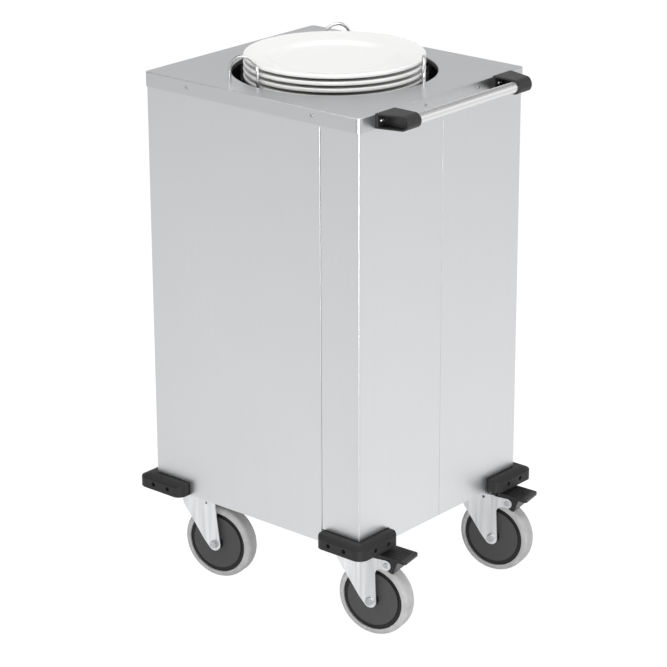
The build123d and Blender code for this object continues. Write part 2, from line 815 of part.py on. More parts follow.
def fork_plan():
    """Fork seen from above: a round nose that widens to flat sides running back."""
    nose_centre = (fork_nose_radius - fork_nose, 0)
    sides = []
    for turn in (1, -1):
        bend = (fork_bend_x, turn * fork_half_width)
        sides.append(tangent_point(bend, nose_centre, fork_nose_radius, -turn))
    with BuildSketch() as plan:
        with Locations(nose_centre):
            Circle(fork_nose_radius)
        with BuildLine():
            Polyline(
                nose_centre, sides[0], (fork_bend_x, fork_half_width), (2 * wheel_radius, fork_half_width),
                (2 * wheel_radius, -fork_half_width), (fork_bend_x, -fork_half_width), sides[1], close=True,
            )
        make_face()
        bends = plan.vertices().filter_by_position(Axis.X, fork_bend_x - 0.1, fork_bend_x + 0.1)
        fillet(bends, fork_bend_radius)
    return plan.sketch


def fork_side(with_brake):
    """Side outline of a fork from its head down to the axle, in the sketch being built."""
    depth = fork_top - wheel_radius
    front = [(x, fork_top - share * depth) for x, share in fork_front_edge]
    front_end = tangent_point(front[-1], axle_point, fork_boss_radius, -1)
    axle_x, axle_z = axle_point
    pin_x, pin_z = pedal_pin
    rear = (axle_x + fork_boss_radius, axle_z)
    with BuildLine(Plane.XZ) as edge:
        Spline(*front, tangents=((0, -1), (front_end[0] - front[-1][0], front_end[1] - front[-1][1])))
        if with_brake:
            Polyline(
                front[-1], front_end, axle_point, rear,
                (fork_rear_x + fork_throat, pin_z - pedal_arm_radius),
                (pin_x, pin_z - pedal_arm_radius), (pin_x, pin_z + pedal_arm_radius),
                (fork_rear_x, pin_z + pedal_arm_radius), (fork_rear_x, fork_top), front[0],
            )
        else:
            Polyline(
                front[-1], front_end, axle_point, rear, (fork_plain_rear_x, fork_top - bearing_gap),
                (fork_plain_rear_x, fork_top), front[0],
            )
    make_face(edge.line)
    if with_brake:
        with Locations(pedal_pin):
            Circle(pedal_arm_radius)
    with Locations(axle_point):
        Circle(fork_boss_radius)


def caster_fork(with_brake):
    """Pressed fork with the turning half of the bearing on its head."""
    outside = fork_plan()
    inside = offset(outside, amount=-fork_sheet)
    with BuildPart() as fork:
        extrude(outside, amount=fork_top)
        extrude(inside, amount=fork_head_underside, mode=Mode.SUBTRACT)
        with BuildSketch(Plane.XZ) as side:
            fork_side(with_brake)
            if with_brake:
                inner_corner = side.vertices().sort_by_distance(
                    (fork_rear_x + fork_throat, pedal_pin[1] - pedal_arm_radius)
                )[0]
                fillet(inner_corner, fork_arm_fillet)
        extrude(amount=wheel_radius, both=True, mode=Mode.INTERSECT)
        with BuildSketch(Plane.XY.offset(fork_head_underside)):
            with Locations((bearing_radius, 0)):
                Rectangle(2 * wheel_radius, 2 * fork_inner, align=(Align.MIN, Align.CENTER))
        extrude(amount=fork_sheet, mode=Mode.SUBTRACT)
        with BuildSketch(Plane.XY.offset(fork_top)):
            Circle(bearing_radius)
        extrude(amount=bearing_height)
        with BuildSketch(Plane.XY.offset(race_underside)):
            Circle(kingpin_radius + axle_clearance)
        extrude(amount=-bearing_height - fork_sheet, mode=Mode.SUBTRACT)
        with BuildSketch(Plane.XZ):
            with Locations(axle_point):
                Circle(axle_radius)
            with Locations((fork_hole_x, fork_top - fork_hole_drop)):
                Circle(fork_hole_radius)
            if with_brake:
                with Locations(pedal_pin):
                    Circle(pedal_pin_radius)
        extrude(amount=wheel_radius, both=True, mode=Mode.SUBTRACT)
    return fork.part


def wheel_core():
    """Hub, web and rim of a wheel in one moulding."""
    axle_x, axle_z = axle_point
    with BuildPart() as core:
        with BuildSketch(Plane.XZ):
            with Locations(axle_point):
                Circle(tyre_inner_radius)
                Circle(core_rim_inner, mode=Mode.SUBTRACT)
        extrude(amount=core_rim_half_width, both=True)
        with BuildSketch(Plane.XZ):
            with Locations(axle_point):
                Circle(core_rim_inner)
        extrude(amount=core_web_half_width, both=True)
        with BuildSketch(Plane.XZ):
            with Locations(axle_point):
                Circle(hub_radius)
        extrude(amount=hub_half_width, both=True)
        with BuildSketch(Plane.XZ):
            with Locations(axle_point):
                Circle(axle_radius + axle_clearance)
        extrude(amount=hub_half_width, both=True, mode=Mode.SUBTRACT)
    return core.part


def wheel_tyre():
    """Tread with rounded shoulders."""
    with BuildPart() as tyre:
        with BuildSketch(Plane.XZ):
            with Locations(axle_point):
                Circle(wheel_radius)
        extrude(amount=wheel_half_width, both=True)
        fillet(tyre.edges().filter_by(GeomType.CIRCLE), tyre_shoulder)
        with BuildSketch(Plane.XZ):
            with Locations(axle_point):
                Circle(tyre_inner_radius)
        extrude(amount=wheel_half_width, both=True, mode=Mode.SUBTRACT)
    return tyre.part


def wheel_guards():
    """Flat thread guards on both faces of a wheel."""
    with BuildPart() as guards:
        for side in (-1, 1):
            with BuildSketch(Plane.XZ.offset(side * core_rim_half_width)):
                with Locations(axle_point):
                    Circle(guard_radius)
                    Circle(hub_radius, mode=Mode.SUBTRACT)
            extrude(amount=side * guard_thickness)
    return guards.part


def axle_bolt():
    """Axle with a hexagonal head on one side and a nut on the other."""
    with BuildPart() as bolt:
        with BuildSketch(Plane.XZ):
            with Locations(axle_point):
                Circle(axle_radius)
        extrude(amount=fork_half_width, both=True)
        for side in (-1, 1):
            with BuildSketch(Plane.XZ.offset(side * fork_half_width)):
                with Locations(axle_point):
                    RegularPolygon(axle_head_across / 2, 6, major_radius=False, rotation=20)
            extrude(amount=side * axle_head_height)
    return bolt.part


def brake_pedal():
    """Pedal plate on a block between the fork's arms, with the brake shoe under it."""
    pin_x, pin_z = pedal_pin
    tip_x = pin_x + pedal_tip_out
    heel_x = pin_x - pedal_heel_in
    rib_length = 2 * pedal_half_width - pedal_corner
    with BuildPart() as pedal:
        with BuildSketch(Plane.XZ):
            with BuildLine():
                Polyline(
                    (heel_x, pin_z + pedal_heel_rise), (tip_x, pin_z + pedal_tip_rise),
                    (tip_x, pin_z + pedal_tip_rise - pedal_thickness),
                    (pin_x + pedal_arm_radius, pin_z + pedal_arm_radius + pedal_arm_gap),
                    (heel_x, pin_z + pedal_arm_radius + pedal_arm_gap), close=True,
                )
            make_face()
        extrude(amount=pedal_half_width, both=True)
        upright = pedal.edges().filter_by(Axis.Z)
        fillet(upright, pedal_corner)
        with BuildSketch(Plane.XZ):
            with Locations(pedal_pin):
                Circle(pedal_arm_radius)
                Rectangle(
                    2 * pedal_arm_radius, pedal_arm_radius + pedal_arm_gap, align=(Align.CENTER, Align.MIN)
                )
            with BuildLine():
                Polyline(
                    (pin_x + shoe_heel_x, pin_z), (pin_x + shoe_heel_x, pin_z - shoe_toe_drop),
                    (pin_x + shoe_toe_x, pin_z - shoe_toe_drop),
                    (pin_x + shoe_slope_x, pin_z + pedal_arm_radius),
                    (pin_x, pin_z + pedal_arm_radius), close=True,
                )
            make_face()
            with Locations(axle_point):
                Circle(wheel_radius + shoe_clearance, mode=Mode.SUBTRACT)
        extrude(amount=pedal_block_half_width, both=True)
        with BuildSketch(Plane.XZ):
            with Locations(pedal_pin):
                Circle(pedal_pin_radius + pedal_pin_clearance)
        extrude(amount=pedal_half_width, both=True, mode=Mode.SUBTRACT)
        slope = math.atan2(pedal_heel_rise - pedal_tip_rise, tip_x - heel_x)
        tread = Plane(
            origin=(heel_x, 0, pin_z + pedal_heel_rise),
            x_dir=(math.cos(slope), 0, -math.sin(slope)),
            z_dir=(math.sin(slope), 0, math.cos(slope)),
        )
        with BuildSketch(tread):
            with Locations(((tip_x - heel_x) / 2 + pedal_corner, 0)):
                with GridLocations(pedal_rib_pitch, 0, pedal_rib_count, 1):
                    RectangleRounded(pedal_rib_width, rib_length, pedal_rib_width / 3)
        extrude(amount=pedal_rib_height)
    return pedal.part


def riveted_pin():
    """Pin of a pedal, riveted over on both of the fork's arms."""
    with BuildPart() as rivet:
        with BuildSketch(Plane.XZ):
            with Locations(pedal_pin):
                Circle(pedal_pin_radius)
        extrude(amount=fork_half_width, both=True)
        for side in (-1, 1):
            with BuildSketch(Plane.XZ.offset(side * fork_half_width)):
                with Locations(pedal_pin):
                    Circle(pedal_pin_head_radius)
            extrude(amount=side * pedal_pin_head_height)
    return rivet.part


shared = {
    "plate": caster_plate(),
    "tyre": wheel_tyre(),
    "core": wheel_core(),
    "guards": wheel_guards(),
    "axle_bolt": axle_bolt(),
}
braked_fork = caster_fork(True)
plain_fork = caster_fork(False)
pedal = brake_pedal()
pin = riveted_pin()
for name, x, y in caster_places():
    place = caster_place(x, y)
    for piece, solid in shared.items():
        if piece == "plate":
            save(solid, f"caster_{name}_{piece}", Location((body_x + x, y, 0)))
        else:
            save(solid, f"caster_{name}_{piece}", place)
    save(braked_fork if x > 0 else plain_fork, f"caster_{name}_fork", place)
    if x > 0:
        save(pedal, f"caster_{name}_pedal", place)
        save(pin, f"caster_{name}_pedal_pin", place)

swivel_axes = [(x, y) for name, x, y in caster_places()]
kingpin_head_top = fork_head_underside - bearing_gap
with BuildPart() as caster_kingpins:
    with BuildSketch(Plane.XY.offset(body_bottom)):
        with Locations(*swivel_axes):
            Circle(kingpin_radius)
    extrude(amount=kingpin_head_top - body_bottom)
    with BuildSketch(Plane.XY.offset(kingpin_head_top)):
        with Locations(*swivel_axes):
            Circle(kingpin_head_radius)
    extrude(amount=-kingpin_head_height)
save(caster_kingpins.part, "caster_kingpins")

bolt_top = body_bottom + pan_sheet + channel_sheet
with BuildPart() as caster_bolts:
    with BuildSketch(Plane.XY.offset(body_bottom - caster_plate_sheet)):
        with Locations(*swivel_axes):
            with GridLocations(caster_bolt_x, caster_bolt_y, 2, 2):
                RegularPolygon(axle_head_across / 2, 6, major_radius=False, rotation=30)
    extrude(amount=-caster_bolt_head)
    with BuildSketch(Plane.XY.offset(body_bottom - caster_plate_sheet)):
        with Locations(*swivel_axes):
            with GridLocations(caster_bolt_x, caster_bolt_y, 2, 2):
                Circle(caster_bolt_radius)
    extrude(amount=bolt_top + caster_nut + screw_end - body_bottom + caster_plate_sheet)
    with BuildSketch(Plane.XY.offset(bolt_top)):
        with Locations(*swivel_axes):
            with GridLocations(caster_bolt_x, caster_bolt_y, 2, 2):
                RegularPolygon(axle_head_across / 2, 6, major_radius=False, rotation=30)
    extrude(amount=caster_nut)
save(caster_bolts.part, "caster_bolts")
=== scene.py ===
import bpy
import bmesh
import json
import math
from mathutils import Matrix, Vector


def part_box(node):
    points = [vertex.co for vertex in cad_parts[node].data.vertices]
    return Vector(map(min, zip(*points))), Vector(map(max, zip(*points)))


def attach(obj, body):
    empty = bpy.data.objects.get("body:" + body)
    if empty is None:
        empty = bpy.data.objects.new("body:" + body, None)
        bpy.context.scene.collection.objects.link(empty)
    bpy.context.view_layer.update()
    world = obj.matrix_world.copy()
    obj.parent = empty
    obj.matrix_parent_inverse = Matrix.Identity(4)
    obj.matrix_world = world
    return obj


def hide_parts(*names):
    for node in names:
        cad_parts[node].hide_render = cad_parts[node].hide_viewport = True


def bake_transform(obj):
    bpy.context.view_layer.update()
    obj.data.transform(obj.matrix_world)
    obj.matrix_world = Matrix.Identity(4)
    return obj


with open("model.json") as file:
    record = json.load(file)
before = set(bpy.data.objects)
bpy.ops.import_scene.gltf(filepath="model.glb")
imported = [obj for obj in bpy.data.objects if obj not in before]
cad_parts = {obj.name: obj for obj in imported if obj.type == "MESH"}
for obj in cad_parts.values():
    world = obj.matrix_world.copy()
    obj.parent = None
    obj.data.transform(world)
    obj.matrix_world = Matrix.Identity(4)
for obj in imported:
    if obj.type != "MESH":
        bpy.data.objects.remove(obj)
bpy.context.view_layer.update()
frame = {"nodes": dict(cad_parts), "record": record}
print("frame loaded:", len(frame["nodes"]), "nodes")

# the middle and top of the cover, and the outer faces of the panels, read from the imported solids
coverLow, coverHigh = (Vector(corner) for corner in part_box("top_cover"))
bodyX = (coverLow.x + coverHigh.x) / 2
coverTop = coverHigh.z
panelHigh = Vector(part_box("corner_panel_right")[1])
mergeDistance = 0.00001


def grey(value):
    return (value, value, value, 1)


def cool(value):
    # the faint blue of bare steel sheet
    return (value * 0.985, value * 0.997, value * 1.016, 1)


class Wire:
    # wraps a socket, so that sums and products of masks read like arithmetic

    def __init__(self, tree, socket):
        self.tree = tree
        self.socket = socket

    def math(self, operation, other=None, swap=False):
        node = self.tree.nodes.new("ShaderNodeMath")
        node.operation = operation
        for slot, value in enumerate((other, self) if swap else (self, other)):
            if isinstance(value, Wire):
                self.tree.links.new(value.socket, node.inputs[slot])
            elif value is not None:
                node.inputs[slot].default_value = value
        return Wire(self.tree, node.outputs[0])

    def __add__(self, other):
        return self.math("ADD", other)

    __radd__ = __add__

    def __sub__(self, other):
        return self.math("SUBTRACT", other)

    def __rsub__(self, other):
        return self.math("SUBTRACT", other, swap=True)

    def __mul__(self, other):
        return self.math("MULTIPLY", other)

    __rmul__ = __mul__

    def limit(self):
        node = self.tree.nodes.new("ShaderNodeClamp")
        self.tree.links.new(self.socket, node.inputs[0])
        return Wire(self.tree, node.outputs[0])


class Shading:
    # makes the nodes of one tree

    def __init__(self, tree):
        self.tree = tree

    def node(self, kind, settings=None, sockets=None, output=0):
        made = self.tree.nodes.new(kind)
        for key, value in (settings or {}).items():
            if key == "stops":
                # a ramp starts with two stops
                ramp = made.color_ramp
                for position, shade in value[2:]:
                    ramp.elements.new(position)
                for element, (position, shade) in zip(ramp.elements, sorted(value)):
                    element.position = position
                    element.color = grey(shade)
            else:
                setattr(made, key, value)
        for key, value in (sockets or {}).items():
            if isinstance(value, Wire):
                self.tree.links.new(value.socket, made.inputs[key])
            else:
                made.inputs[key].default_value = value
        return Wire(self.tree, made.outputs[output])

    def place(self, scale=(1, 1, 1)):
        here = self.node("ShaderNodeTexCoord", output="Object")
        return self.node("ShaderNodeMapping", None, {"Vector": here, "Scale": scale})

    def noise(self, size, detail=3, scale=(1, 1, 1)):
        # a cloud whose lumps are about as large as size, in metres
        sockets = {"Vector": self.place(scale), "Scale": 1 / size, "Detail": detail}
        return self.node("ShaderNodeTexNoise", None, sockets)

    def mix(self, factor, first, second):
        sockets = {0: factor, 6: first, 7: second}
        return self.node("ShaderNodeMix", {"data_type": "RGBA"}, sockets, output=2)

    def bearing(self, vector):
        # direction round the origin as a share of a full turn, from -Y through +X
        east = self.node("ShaderNodeSeparateXYZ", None, {0: vector}, output=0)
        north = self.node("ShaderNodeSeparateXYZ", None, {0: vector}, output=1)
        turn = east.math("ARCTAN2", 0.0 - north) * (0.5 / math.pi)
        return turn.math("FRACT")

    def round(self, vector, shades):
        # shades by direction, given in degrees
        stops = [(angle / 360, shade) for angle, shade in shades]
        return self.node("ShaderNodeValToRGB", {"stops": stops}, {0: self.bearing(vector)})


class Finish(Shading):
    # one material with its principled shader

    def __init__(self, name):
        self.material = bpy.data.materials.new(name)
        self.material.use_nodes = True
        super().__init__(self.material.node_tree)
        self.shader = self.tree.nodes["Principled BSDF"]

    def bump(self, height, distance, strength):
        sockets = {"Height": height, "Distance": distance, "Strength": strength}
        return self.node("ShaderNodeBump", None, sockets)

    def feed(self, **values):
        for key, value in values.items():
            socket = self.shader.inputs[key.replace("_", " ")]
            if isinstance(value, Wire):
                self.tree.links.new(value.socket, socket)
            else:
                socket.default_value = value
        return self.material


brushed = {
    # size of the lumps in metres, and how far they are drawn out along the grain
    "fine": 0.0011, "wide": 0.006, "cloud": 0.16,
    "stretch": {"x": (0.02, 1, 1), "y": (1, 0.02, 1), "z": (1, 1, 0.015)},
    "fineShare": 0.6, "dark": 0.965, "light": 1.035, "cloudTone": 0.95, "cloudShare": 0.25,
    "lineGloss": 0.08, "cloudGloss": 0.06, "depth": 0.00002, "relief": 0.6,
}


def brushedSteel(name, tone, along, roughness, grain):
    # sheet with a fine grain that runs along one axis, and a faint cloudiness from handling
    steel = Finish(name)
    stretch = brushed["stretch"][along]
    fine = steel.noise(brushed["fine"], 2, stretch)
    wide = steel.noise(brushed["wide"], 2, stretch)
    cloud = steel.noise(brushed["cloud"])
    lines = fine * brushed["fineShare"] + wide * (1 - brushed["fineShare"])
    colour = steel.mix(lines, cool(tone * brushed["dark"]), cool(tone * brushed["light"]))
    colour = steel.mix(cloud * brushed["cloudShare"], colour, cool(tone * brushed["cloudTone"]))
    gloss = roughness + (lines - 0.5) * (brushed["lineGloss"] * grain) + (cloud - 0.5) * brushed["cloudGloss"]
    return steel.feed(
        Base_Color=colour, Metallic=1.0, Roughness=gloss.limit(),
        Normal=steel.bump(lines, brushed["depth"] * grain, brushed["relief"]),
    )


polish = {
    "rub": 0.004, "rubStretch": (1, 1, 0.2), "rubGloss": 0.02,
    "smear": 0.03, "smearTone": 0.93, "smearShare": 0.3, "smearGloss": 0.03,
}


def polishedSteel(name, tone, roughness):
    steel = Finish(name)
    rub = steel.noise(polish["rub"], 3, polish["rubStretch"])
    smear = steel.noise(polish["smear"], 2)
    gloss = roughness + (rub - 0.5) * polish["rubGloss"] + (smear - 0.5) * polish["smearGloss"]
    colour = steel.mix(smear * polish["smearShare"], grey(tone), grey(tone * polish["smearTone"]))
    return steel.feed(Base_Color=colour, Metallic=1.0, Roughness=gloss.limit())


zincSheet = {
    "spangle": 0.012, "grit": 0.0012, "spangleGloss": 0.10, "depth": 0.00002, "relief": 0.5,
    # upright streaks from drawing the sheet
    "streak": 0.009, "stretch": (1, 1, 0.06), "from": 0.38, "contrast": 3.2, "tone": 0.80, "streakGloss": 0.12,
}


def zincPlate(name, tone, roughness):
    zinc = Finish(name)
    spangle = zinc.noise(zincSheet["spangle"])
    grit = zinc.noise(zincSheet["grit"], 2)
    streak = zinc.noise(zincSheet["streak"], 2, zincSheet["stretch"])
    marks = ((streak - zincSheet["from"]) * zincSheet["contrast"]).limit()
    gloss = roughness + (spangle - 0.5) * zincSheet["spangleGloss"] - (streak - 0.5) * zincSheet["streakGloss"]
    return zinc.feed(
        Base_Color=zinc.mix(marks, cool(tone), cool(tone * zincSheet["tone"])), Metallic=1.0,
        Roughness=gloss.limit(), Normal=zinc.bump(grit, zincSheet["depth"], zincSheet["relief"]),
    )


moulded = {
    "specular": 0.32, "pitShare": 0.6, "fineSize": 0.6, "relief": 0.8,
    "dust": 0.02, "dustShare": 0.35, "dustTone": 1.5, "dustGloss": 0.12,
    # edges painted lighter as a painted highlight, and made smoother
    "edgeFrom": 0.52, "edgeContrast": 9.0, "edgeShare": 0.45, "edgeTone": 2.6, "edgeLightest": 0.8,
    "edgeGloss": 0.06,
}


def mouldedPlastic(name, tone, roughness, texture=0.0008, depth=0.00006):
    # plastic or rubber with the leathery surface of a spark-eroded mould
    plastic = Finish(name)
    pits = plastic.node(
        "ShaderNodeTexVoronoi", {"feature": "SMOOTH_F1"}, {"Vector": plastic.place(), "Scale": 1 / texture},
    )
    fine = plastic.noise(texture * moulded["fineSize"], 2)
    dust = plastic.noise(moulded["dust"], 4)
    sharpness = plastic.node("ShaderNodeNewGeometry", output="Pointiness")
    # painted highlight: the sharp convex edges, found by pointiness, are mixed towards a lighter grey
    edgeHighlight = ((sharpness - moulded["edgeFrom"]) * moulded["edgeContrast"]).limit()
    colour = plastic.mix(dust * moulded["dustShare"], grey(tone), grey(tone * moulded["dustTone"]))
    highlightTone = min(tone * moulded["edgeTone"], moulded["edgeLightest"])
    colour = plastic.mix(edgeHighlight * moulded["edgeShare"], colour, grey(highlightTone))
    gloss = roughness + (dust - 0.5) * moulded["dustGloss"] - edgeHighlight * moulded["edgeGloss"]
    surface = pits * moulded["pitShare"] + fine * (1 - moulded["pitShare"])
    return plastic.feed(
        Base_Color=colour, Roughness=gloss.limit(), Specular_IOR_Level=moulded["specular"],
        Normal=plastic.bump(surface, depth, moulded["relief"]),
    )


glazed = {
    "clear": (0.88, 0.88, 0.87, 1), "specked": (0.85, 0.85, 0.845, 1), "speck": 0.012, "speckShare": 0.3,
    "roughness": 0.24, "speckGloss": 0.06, "coat": 0.15, "coatRoughness": 0.12,
    "ripple": 0.05, "depth": 0.0004, "relief": 0.15,
}


def glazedPorcelain(name):
    glaze = Finish(name)
    ripple = glaze.noise(glazed["ripple"], 2)
    speck = glaze.noise(glazed["speck"])
    return glaze.feed(
        Base_Color=glaze.mix(speck * glazed["speckShare"], glazed["clear"], glazed["specked"]),
        Roughness=(glazed["roughness"] + (speck - 0.5) * glazed["speckGloss"]).limit(),
        Coat_Weight=glazed["coat"], Coat_Roughness=glazed["coatRoughness"],
        Normal=glaze.bump(ripple, glazed["depth"], glazed["relief"]),
    )


rubber = {
    "dark": (0.31, 0.31, 0.308, 1), "light": (0.55, 0.55, 0.547, 1), "scuffed": (0.33, 0.33, 0.325, 1),
    "mottle": 0.018, "scuff": 0.006, "scuffFrom": 0.55, "scuffContrast": 1.2, "grit": 0.0015,
    "roughness": 0.62, "mottleGloss": 0.2, "depth": 0.00012, "relief": 0.6,
}


def treadRubber(name):
    tread = Finish(name)
    mottle = tread.noise(rubber["mottle"], 4)
    grit = tread.noise(rubber["grit"])
    scuff = (tread.noise(rubber["scuff"]) - rubber["scuffFrom"]) * rubber["scuffContrast"]
    colour = tread.mix(mottle, rubber["dark"], rubber["light"])
    return tread.feed(
        Base_Color=tread.mix(scuff, colour, rubber["scuffed"]),
        Roughness=(rubber["roughness"] + (mottle - 0.5) * rubber["mottleGloss"]).limit(),
        Normal=tread.bump(grit, rubber["depth"], rubber["relief"]),
    )


oiled = {"size": 0.01, "dark": 0.28, "light": 0.4, "roughness": 0.3, "spread": 0.15}


def coilSteel(name):
    coil = Finish(name)
    oil = coil.noise(oiled["size"])
    return coil.feed(
        Base_Color=coil.mix(oil, grey(oiled["dark"]), grey(oiled["light"])), Metallic=1.0,
        Roughness=(oiled["roughness"] + oil * oiled["spread"]).limit(),
    )


# tone and roughness of each finish; sheet has the axis and strength of its grain too, plastic its texture
finishes = {
    "brushed_sheet": brushedSteel("bodySteel", 0.70, "z", 0.33, 0.35),
    "cover": brushedSteel("coverSteel", 0.63, "x", 0.35, 0.3),
    # painted shade: the steel inside the body is given a dark tone for its unlit inside
    "inner_steel": brushedSteel("innerSteel", 0.20, "y", 0.45, 1.0),
    "screw_steel": polishedSteel("screwSteel", 0.46, 0.24),
    "polished_wire": polishedSteel("wireSteel", 0.70, 0.24),
    "polished_tube": polishedSteel("tubeSteel", 0.80, 0.27),
    "zinc": zincPlate("zincPlate", 0.88, 0.36),
    "bracket_black": mouldedPlastic("bracketPlastic", 0.020, 0.46),
    "bumper_black": mouldedPlastic("bumperRubber", 0.015, 0.52, 0.0010, 0.00010),
    "pedal_black": mouldedPlastic("pedalPlastic", 0.015, 0.40),
    "porcelain": glazedPorcelain("porcelain"),
    "tyre_grey": treadRubber("treadRubber"),
    "core_black": mouldedPlastic("corePlastic", 0.009, 0.42),
    "guard_grey": mouldedPlastic("guardPlastic", 0.052, 0.55, 0.0012, 0.00006),
    "bolt_zinc": zincPlate("boltZinc", 0.58, 0.50),
    "bush_white": mouldedPlastic("bushPlastic", 0.75, 0.45),
    "spring_steel": coilSteel("springSteel"),
}
print("finishes made:", len(finishes))

slotOf = {part["node"]: part["material_slot"] for part in frame["record"]["subparts"]}
bodyOf = {node: body for body, nodes in frame["record"]["behaviour"]["bodies"].items() for node in nodes}


def paint(thing, finish):
    thing.data.materials.clear()
    thing.data.materials.append(finish)


def finishOf(nodeName):
    if nodeName == "top_cover":
        return finishes["cover"]
    if nodeName.endswith(("_axle_bolt", "_pin")):
        return finishes["bolt_zinc"]
    return finishes[slotOf[nodeName]]


for nodeName, thing in frame["nodes"].items():
    finish = finishOf(nodeName)
    for slot in thing.material_slots:
        slot.material = finish
    if not thing.material_slots:
        thing.data.materials.append(finish)


def standIn(nodeName, mesh, ending):
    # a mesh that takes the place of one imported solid, on the same body
    data = bpy.data.meshes.new(nodeName + ending)
    mesh.to_mesh(data)
    mesh.free()
    piece = bpy.data.objects.new(nodeName + ending, data)
    bpy.context.scene.collection.objects.link(piece)
    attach(piece, bodyOf[nodeName])
    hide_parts(nodeName)
    paint(piece, finishOf(nodeName))
    return piece


def applyModifiers(piece):
    evaluated = piece.evaluated_get(bpy.context.evaluated_depsgraph_get())
    finished = bpy.data.meshes.new_from_object(evaluated)
    piece.modifiers.clear()
    piece.data = finished
    finished.name = piece.name


soft = {
    "segments": 3, "sharp": 28, "flat": 0.5, "cover": 0.0004,
    # how far the edges are rounded, by the start or end of the nodes' names
    "widths": {
        "bumper_": 0.0022, "_pedal": 0.0009, "_pin": 0.0006, "_fork": 0.0006, "_axle_bolt": 0.0006,
        "_guards": 0.0007, "_core": 0.0004, "handle_bracket": 0.0008, "guide_loop": 0.0002,
    },
    "notRounded": "bumper_screws",
}


def softCopy(nodeName, width, chosen=None):
    # a copy of a solid with its sharp edges rounded over, all of them or the share that chosen gives
    mesh = bmesh.new()
    mesh.from_mesh(frame["nodes"][nodeName].data)
    bmesh.ops.remove_doubles(mesh, verts=mesh.verts, dist=mergeDistance)
    bmesh.ops.dissolve_limit(
        mesh, angle_limit=math.radians(soft["flat"]), verts=mesh.verts, edges=mesh.edges, delimit={"NORMAL"},
    )
    sharp = math.radians(soft["sharp"])
    for face in mesh.faces:
        face.smooth = True
    weights = mesh.edges.layers.float.new("bevel_weight_edge")
    for edge in mesh.edges:
        bend = edge.calc_face_angle(0)
        share = chosen(edge) if chosen else 1.0
        edge[weights] = share if bend > sharp else 0.0
        edge.smooth = bend < sharp or edge[weights] > 0
    piece = standIn(nodeName, mesh, "_soft")
    bevel = piece.modifiers.new("edges", "BEVEL")
    bevel.width = width
    bevel.segments = soft["segments"]
    bevel.limit_method = "WEIGHT"
    bevel.use_clamp_overlap = chosen is None
    shading = piece.modifiers.new("shading", "WEIGHTED_NORMAL")
    shading.keep_sharp = True
    shading.weight = 100
    applyModifiers(piece)
    return piece


# the folded edges where the panels meet, rounded less in the middle of the handle side
seams = {
    "panels": ("wrap_panel", "corner_panel_left", "corner_panel_right"),
    "width": 0.0016, "shortest": 0.3, "middle": 0.3, "middleY": 0.01, "depth": 0.0002,
}


def seamShare(edge):
    # only the long upright edges on the panels' outer faces are rounded
    low, high = (vert.co for vert in edge.verts)
    if abs(low.z - high.z) < seams["shortest"] or abs(low.x - high.x) > seams["depth"]:
        return 0.0
    outer = max(low.x - panelHigh.x, abs(low.y) - panelHigh.y)
    if outer < -seams["depth"]:
        return 0.0
    return seams["middle"] if abs(low.y) < seams["middleY"] else 1.0


def addSoftCopies():
    made = []
    for nodeName in frame["nodes"]:
        for part, width in soft["widths"].items():
            named = nodeName.startswith(part) or nodeName.endswith(part)
            if named and nodeName != soft["notRounded"]:
                made.append(softCopy(nodeName, width))
    for nodeName in seams["panels"]:
        made.append(softCopy(nodeName, seams["width"], seamShare))
    made.append(softCopy("top_cover", soft["cover"]))
    return len(made)


print("edges rounded:", addSoftCopies())


def turned(profile, steps):
    # a closed ring of faces round the Z axis, from points of radius and height
    mesh = bmesh.new()
    rings = []
    for radius, height in profile:
        if radius < mergeDistance:
            rings.append([mesh.verts.new((0, 0, height))] * steps)
            continue
        rings.append([
            mesh.verts.new((radius * math.cos(angle), radius * math.sin(angle), height))
            for angle in (2 * math.pi * step / steps for step in range(steps))
        ])
    for lower, upper in zip(rings, rings[1:]):
        for step in range(steps):
            after = (step + 1) % steps
            corners = [lower[step], lower[after], upper[after], upper[step]]
            mesh.faces.new(list(dict.fromkeys(corners))).smooth = True
    bmesh.ops.recalc_face_normals(mesh, faces=mesh.faces)
    return mesh


def rounded(points, rounds):
    # cuts the corners of an open line, and leaves its ends
    for _ in range(rounds):
        cut = [points[0]]
        for (startX, startY), (endX, endY) in zip(points, points[1:]):
            cut.append((startX * 0.75 + endX * 0.25, startY * 0.75 + endY * 0.25))
            cut.append((startX * 0.25 + endX * 0.75, startY * 0.25 + endY * 0.75))
        points = cut + [points[-1]]
    return points


plates = {
    "count": 4, "steps": 160, "rounds": 3,
    # radius and height in millimetres, from the middle of the underside round the rim to the middle of the well
    "profile": (
        (0, 5.5), (40, 5.5), (84, 5.5), (88.2, 5.4), (89.3, 1.5), (90.4, 0.1), (93.6, 0.1), (95, 1.8),
        (97, 4.6), (108, 5.3), (113, 7.0), (120, 10.6), (132, 14.2), (148, 17.0), (155.5, 18.2), (158.6, 19.2),
        (159.7, 21.6), (159.6, 24.6), (158.2, 26.0), (155.5, 25.6), (150, 24.7), (135, 22.0), (122, 19.6),
        (115.5, 17.8), (110, 14.6), (105.5, 12.5), (98, 11.95), (60, 11.9), (0, 11.9),
    ),
}


def addPlates():
    points = [(radius / 1000, height / 1000) for radius, height in plates["profile"]]
    line = rounded(points, plates["rounds"])
    for number in range(plates["count"]):
        nodeName = "plate_%d" % (number + 1)
        low, high = (Vector(corner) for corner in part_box(nodeName))
        mesh = turned(line, plates["steps"])
        bmesh.ops.translate(mesh, verts=mesh.verts, vec=((low.x + high.x) / 2, (low.y + high.y) / 2, low.z))
        standIn(nodeName, mesh, "_glazed")


addPlates()
print("plates turned")


